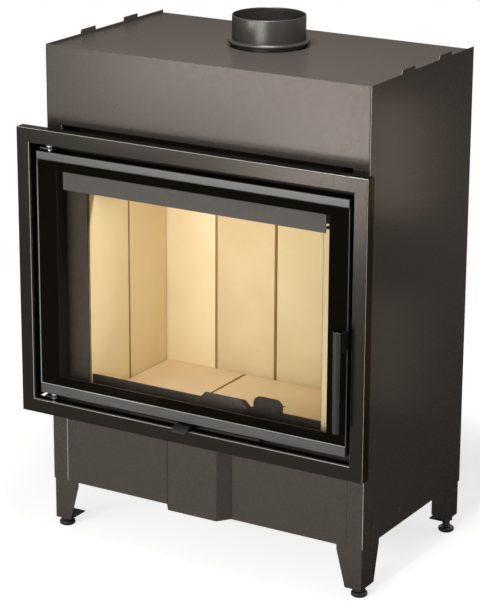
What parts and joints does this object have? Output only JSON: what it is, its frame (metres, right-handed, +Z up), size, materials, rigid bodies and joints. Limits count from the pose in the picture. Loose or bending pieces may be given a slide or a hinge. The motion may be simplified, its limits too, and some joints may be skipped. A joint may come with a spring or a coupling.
{
  "type": "fireplace insert",
  "caption": "Built-in wood-burning fireplace insert: sheet-steel casing on legs, hinged glass door in a surround frame, brick-lined firebox and a round flue collar on top",
  "frame": {"origin": "on the floor under the middle of the object's box, levelling feet at rest", "axes": "+X to the right seen from the front, +Y to the back, +Z up"},
  "size_m": [0.79, 0.524, 1.083],
  "materials": {
    "casing_paint": "dark warm grey metallic heat-resistant paint, satin",
    "door_paint": "black heat-resistant paint, satin",
    "firebox_steel": "dark brown-black stove paint, matt",
    "flue_steel": "dark grey heat-resistant paint, satin",
    "chamotte": "pale yellow fired chamotte, matt",
    "ceramic_glass": "clear ceramic glass with a black printed border",
    "seal_rope": "braided glass-fibre rope, dark grey",
    "satin_steel": "grey satin metal",
    "stainless": "brushed stainless steel",
    "bright_steel": "zinc-plated steel"
  },
  "bodies": {
    "casing": {"side_panel_right": "casing_paint", "side_panel_left": "casing_paint", "back_panel": "casing_paint", "top_plate": "casing_paint", "bottom_plate": "casing_paint", "upper_front_panel": "casing_paint", "lower_front_panel": "casing_paint", "leg_front_left": "casing_paint", "leg_rear_left": "casing_paint", "leg_front_right": "casing_paint", "leg_rear_right": "casing_paint", "foot_lock_nuts": "bright_steel", "case_screws": "bright_steel", "surround_screws": "bright_steel", "surround_top": "casing_paint", "surround_bottom": "casing_paint", "surround_left": "casing_paint", "surround_right": "casing_paint", "firebox_wall_right": "firebox_steel", "firebox_wall_left": "firebox_steel", "firebox_back": "firebox_steel", "firebox_floor": "firebox_steel", "firebox_top": "firebox_steel", "firebox_shoulder": "firebox_steel", "sealing_plate": "firebox_steel", "firebox_stand": "firebox_steel", "back_brick_1": "chamotte", "back_brick_2": "chamotte", "back_brick_3": "chamotte", "back_brick_4": "chamotte", "right_brick_front": "chamotte", "left_brick_front": "chamotte", "right_brick_rear": "chamotte", "left_brick_rear": "chamotte", "floor_brick_left": "chamotte", "floor_brick_right": "chamotte", "smoke_baffle": "chamotte", "flue_collar": "flue_steel", "air_spigot": "casing_paint", "air_duct_box": "casing_paint", "air_chamber": "firebox_steel", "hinge_brackets": "firebox_steel", "hinge_pins": "bright_steel", "latch_striker": "firebox_steel"},
    "door": {"door_frame": "door_paint", "door_glass": "ceramic_glass", "glass_seal": "seal_rope", "door_trims": "satin_steel", "trim_screws": "bright_steel", "door_rope": "seal_rope", "air_deflector": "firebox_steel", "latch_pivot": "bright_steel"},
    "latch": {"handle_rod": "stainless", "latch_lever": "door_paint"},
    "air_slide": {"air_gate": "firebox_steel"},
    "guard": {"log_guard": "firebox_steel"},
    "foot_front_left": {"levelling_foot_front_left": "bright_steel"},
    "foot_rear_left": {"levelling_foot_rear_left": "bright_steel"},
    "foot_front_right": {"levelling_foot_front_right": "bright_steel"},
    "foot_rear_right": {"levelling_foot_rear_right": "bright_steel"}
  },
  "joints": [
    {"name": "door_hinge", "type": "hinge", "parent": "casing", "child": "door", "pos_m": [-0.328, -0.209, 0.57], "axis": [0, 0, -1], "range_deg": [0, 95]},
    {"name": "latch_turn", "type": "hinge", "parent": "door", "child": "latch", "pos_m": [0.356, -0.208, 0.553], "axis": [-1, 0, 0], "range_deg": [0, 28]},
    {"name": "air_gate_slide", "type": "slide", "parent": "casing", "child": "air_slide", "axis": [1, 0, 0], "range_m": [-0.02, 0.02]},
    {"name": "log_guard_lift", "type": "slide", "parent": "casing", "child": "guard", "axis": [0, 0, 1], "range_m": [0, 0.06]},
    {"name": "foot_front_left_screw", "type": "slide", "parent": "casing", "child": "foot_front_left", "axis": [0, 0, -1], "range_m": [0, 0.02]},
    {"name": "foot_rear_left_screw", "type": "slide", "parent": "casing", "child": "foot_rear_left", "axis": [0, 0, -1], "range_m": [0, 0.02]},
    {"name": "foot_front_right_screw", "type": "slide", "parent": "casing", "child": "foot_front_right", "axis": [0, 0, -1], "range_m": [0, 0.02]},
    {"name": "foot_rear_right_screw", "type": "slide", "parent": "casing", "child": "foot_rear_right", "axis": [0, 0, -1], "range_m": [0, 0.02]}
  ]
}
